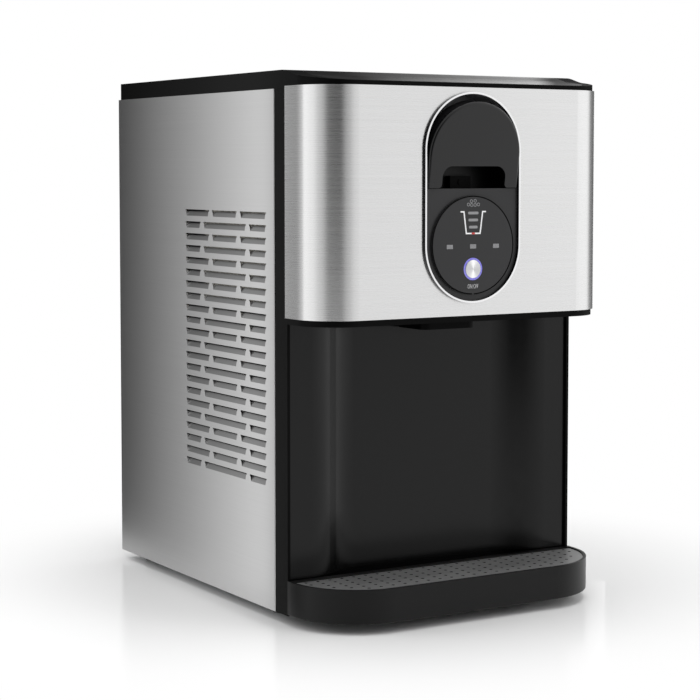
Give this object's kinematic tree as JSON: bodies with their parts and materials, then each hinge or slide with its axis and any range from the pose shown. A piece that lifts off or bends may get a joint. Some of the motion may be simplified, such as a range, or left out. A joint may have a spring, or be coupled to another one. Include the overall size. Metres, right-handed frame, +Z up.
{
  "type": "countertop ice dispenser",
  "caption": "Free-standing ice maker with a stainless head, a pull flap that drops ice through a chute, a glass bay, a drip tray with a perforated grid and a lifting lid.",
  "frame": {"origin": "on the surface it stands on, under the middle of the machine's outline", "axes": "+Z up, -Y towards the user, +X to the user's right when they face the machine"},
  "size_m": [0.2842, 0.3836, 0.443],
  "materials": {
    "brushed_steel": "brushed",
    "panel_steel": "finely brushed",
    "zinc_sheet": "zinc plated",
    "chrome": "polished",
    "screw_steel": "plated",
    "black_plastic": "satin moulded",
    "gloss_black": "gloss moulded",
    "panel_grey": "satin printed",
    "flap_grey": "gloss moulded",
    "white_plastic": "moulded",
    "foam": "expanded foam",
    "lamp_lens": "frosted",
    "blue_light": "lit lens",
    "button_metal": "brushed",
    "spring_steel": "drawn wire",
    "board_green": "solder mask",
    "rubber": "moulded",
    "nickel": "nickel plated",
    "copper": "drawn copper",
    "black_enamel": "baked enamel",
    "fin_aluminium": "mill",
    "hose_clear": "silicone",
    "stainless": "polished",
    "acetal": "machined"
  },
  "bodies": {
    "cabinet": {"auger_bush": "acetal", "auger_motor": "zinc_sheet", "base_plate": "zinc_sheet", "bin_insulation": "foam", "button_light_ring": "blue_light", "button_spring": "spring_steel", "casing_screws": "screw_steel", "chute": "black_plastic", "compressor": "black_enamel", "compressor_bolts": "screw_steel", "compressor_mounts": "rubber", "condenser": "fin_aluminium", "control_board": "board_green", "control_housing": "panel_grey", "control_panel": "panel_grey", "deck": "zinc_sheet", "drain_pipe": "hose_clear", "evaporator": "nickel", "fan_motor": "zinc_sheet", "fan_shroud": "black_plastic", "filter_drier": "copper", "flap_pin": "spring_steel", "flap_spring": "spring_steel", "flap_switch": "black_plastic", "front_frame": "black_plastic", "gate_pin": "spring_steel", "head_floor": "black_plastic", "head_shell": "brushed_steel", "ice_bin": "white_plastic", "ice_level_sensor": "black_plastic", "ice_slide": "white_plastic", "lamp_windows": "lamp_lens", "left_side_panel": "panel_steel", "lid_hinge_pins": "spring_steel", "maker_frame": "white_plastic", "power_board": "board_green", "power_inlet": "black_plastic", "rear_panel": "zinc_sheet", "refrigerant_pipes": "copper", "right_side_panel": "panel_steel", "rubber_feet": "rubber", "splash_panel": "gloss_black", "top_frame": "black_plastic", "tray_motor": "zinc_sheet", "trim_ring": "chrome", "water_hoses": "hose_clear", "water_pump": "black_plastic", "water_tank": "white_plastic"},
    "lid": {"lid": "gloss_black", "lid_liner": "white_plastic", "lid_gasket": "rubber"},
    "dispense_flap": {"dispense_flap": "flap_grey"},
    "chute_gate": {"chute_gate": "black_plastic"},
    "power_button": {"power_button": "button_metal"},
    "auger": {"auger": "stainless"},
    "water_tray": {"water_tray": "white_plastic"},
    "fan": {"fan_blade": "black_plastic"},
    "drip_tray": {"drip_tray": "black_plastic"},
    "drip_grid": {"drip_grid": "stainless"},
    "drain_plug": {"drain_plug": "rubber"}
  },
  "joints": [
    {"name": "lid_hinge", "type": "hinge", "parent": "cabinet", "child": "lid", "pos_m": [0, 0.18045, 0.4375], "axis": [-1, 0, 0], "range_deg": [0, 80]},
    {"name": "flap_hinge", "type": "hinge", "parent": "cabinet", "child": "dispense_flap", "pos_m": [0, -0.18338, 0.40496], "axis": [-1, 0, 0], "range_deg": [0, 25], "stiffness_Nm_per_rad": 0.06, "springref_deg": -28.65, "deforming": ["flap_spring"]},
    {"name": "gate_hinge", "type": "hinge", "parent": "cabinet", "child": "chute_gate", "pos_m": [0, -0.14375, 0.264], "axis": [-1, 0, 0], "range_deg": [0, 80]},
    {"name": "button_press", "type": "slide", "parent": "cabinet", "child": "power_button", "axis": [0, 1, 0], "range_m": [0, 0.0015], "stiffness_N_per_m": 300, "springref_m": -0.002, "deforming": ["button_spring"]},
    {"name": "auger_spin", "type": "hinge", "parent": "cabinet", "child": "auger", "pos_m": [0, 0, 0.29], "axis": [0, 1, 0], "continuous": true},
    {"name": "water_tray_tilt", "type": "hinge", "parent": "cabinet", "child": "water_tray", "pos_m": [0, 0.13925, 0.388], "axis": [1, 0, 0], "range_deg": [0, 45]},
    {"name": "fan_spin", "type": "hinge", "parent": "cabinet", "child": "fan", "pos_m": [0.096, -0.00925, 0.084], "axis": [1, 0, 0], "continuous": true},
    {"name": "drip_tray_slide", "type": "slide", "parent": "cabinet", "child": "drip_tray", "axis": [0, -1, 0], "range_m": [0, 0.09]},
    {"name": "drip_grid_lift", "type": "slide", "parent": "drip_tray", "child": "drip_grid", "axis": [0, 0, 1], "range_m": [0, 0.06]},
    {"name": "drain_plug_pull", "type": "slide", "parent": "cabinet", "child": "drain_plug", "axis": [0, 1, 0], "range_m": [0, 0.03]}
  ],
  "couplings": [
    {"joint": "gate_hinge", "follows": "flap_hinge", "ratio": 3.2}
  ]
}
